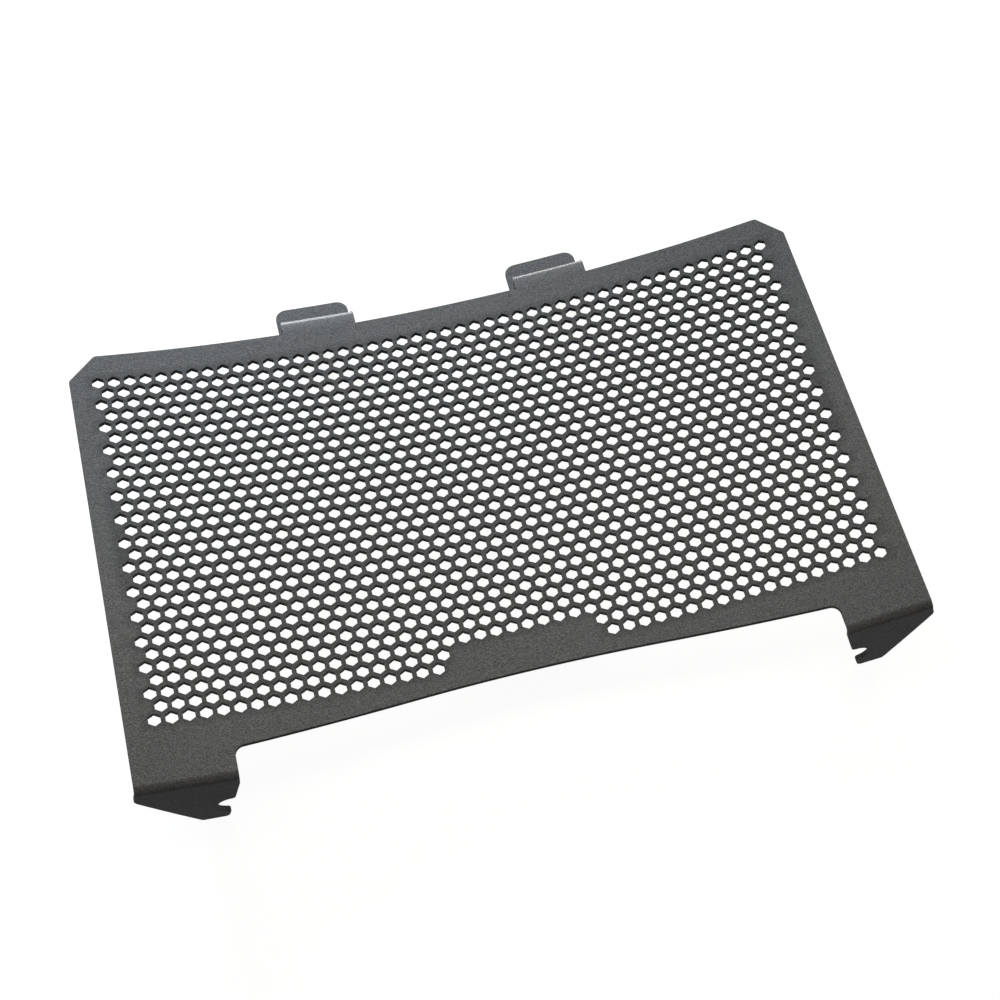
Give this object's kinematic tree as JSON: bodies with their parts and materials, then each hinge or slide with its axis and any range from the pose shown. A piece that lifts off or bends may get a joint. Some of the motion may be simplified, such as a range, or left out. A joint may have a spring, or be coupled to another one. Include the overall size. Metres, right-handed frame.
{
  "type": "motorcycle radiator guard",
  "caption": "Perforated sheet guard for a motorcycle radiator, rolled to a gentle curve, with hooked legs at the bottom and stepped tabs at the top.",
  "frame": {"origin": "centre of the bounding box, at its underside, with the guard lying face up on its hooks and tabs", "axes": "+X across the face to the right as the rider's front wheel sees it with the tabs up, +Y up the face towards the tabs, +Z out of the front of the face, away from the radiator"},
  "size_m": [0.317, 0.232, 0.0438],
  "materials": {
    "guard_coat": "matt fine-textured powder coat, charcoal grey"
  },
  "bodies": {
    "root": {"radiator_guard": "guard_coat"}
  },
  "joints": []
}
